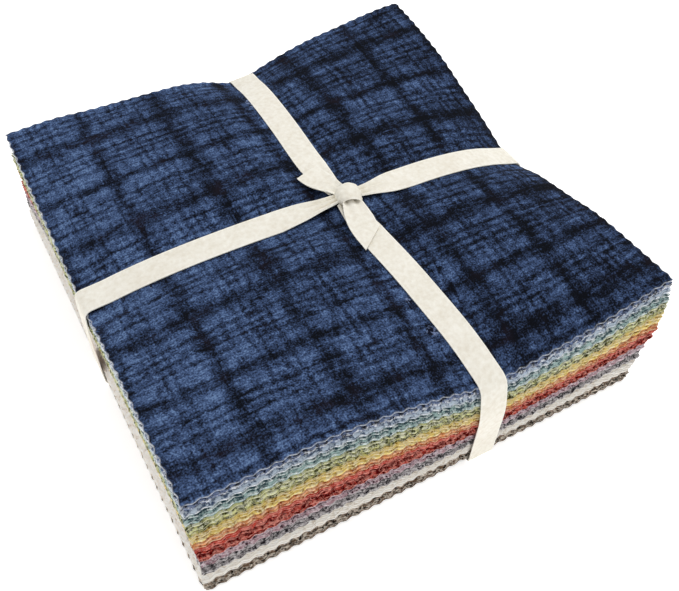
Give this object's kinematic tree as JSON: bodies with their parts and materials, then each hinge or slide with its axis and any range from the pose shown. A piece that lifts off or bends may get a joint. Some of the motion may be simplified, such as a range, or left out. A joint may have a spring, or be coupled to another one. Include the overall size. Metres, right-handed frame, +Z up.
{
  "type": "stack of fabric squares",
  "caption": "Square stack of pinked flannel pieces in bands of colour, tied crosswise like a parcel with a cream cotton tape knotted on top.",
  "frame": {"origin": "on the floor, under the middle of the whole stack with its tape", "axes": "+Z up, +X along the front rim to the right, +Y from the front to the back; the squares' sides lie along X and Y"},
  "size_m": [0.2624, 0.2636, 0.0874],
  "materials": {
    "brown": "brushed cotton flannel, taupe and brown heathers",
    "cream": "brushed cotton flannel, cream and off-white",
    "charcoal": "brushed cotton flannel, charcoal heathers",
    "mauve": "brushed cotton flannel, mauve and lavender heathers",
    "red": "brushed cotton flannel, coral to deep red",
    "orange": "brushed cotton flannel, orange",
    "gold": "brushed cotton flannel, gold and yellow",
    "olive": "brushed cotton flannel, olive",
    "sage": "brushed cotton flannel, sage green",
    "aqua": "brushed cotton flannel, aqua and teal",
    "sky": "brushed cotton flannel, pale blue",
    "navy": "brushed cotton flannel, navy shadow plaid on top",
    "tape": "woven cotton tape, cream, plain"
  },
  "bodies": {
    "root": {"brown_1": "brown", "brown_2": "brown", "brown_3": "brown", "brown_4": "brown", "brown_5": "brown", "cream_1": "cream", "cream_2": "cream", "cream_3": "cream", "cream_4": "cream", "cream_5": "cream", "cream_6": "cream", "cream_7": "cream", "charcoal_1": "charcoal", "charcoal_2": "charcoal", "charcoal_3": "charcoal", "charcoal_4": "charcoal", "mauve_1": "mauve", "mauve_2": "mauve", "mauve_3": "mauve", "mauve_4": "mauve", "mauve_5": "mauve", "red_1": "red", "red_2": "red", "red_3": "red", "red_4": "red", "red_5": "red", "red_6": "red", "red_7": "red", "red_8": "red", "red_9": "red", "orange_1": "orange", "orange_2": "orange", "orange_3": "orange", "gold_1": "gold", "gold_2": "gold", "gold_3": "gold", "gold_4": "gold", "olive_1": "olive", "olive_2": "olive", "sage_1": "sage", "sage_2": "sage", "sage_3": "sage", "aqua_1": "aqua", "aqua_2": "aqua", "aqua_3": "aqua", "sky_1": "sky", "sky_2": "sky", "navy_1": "navy", "navy_2": "navy", "navy_3": "navy", "tape": "tape"}
  },
  "joints": []
}
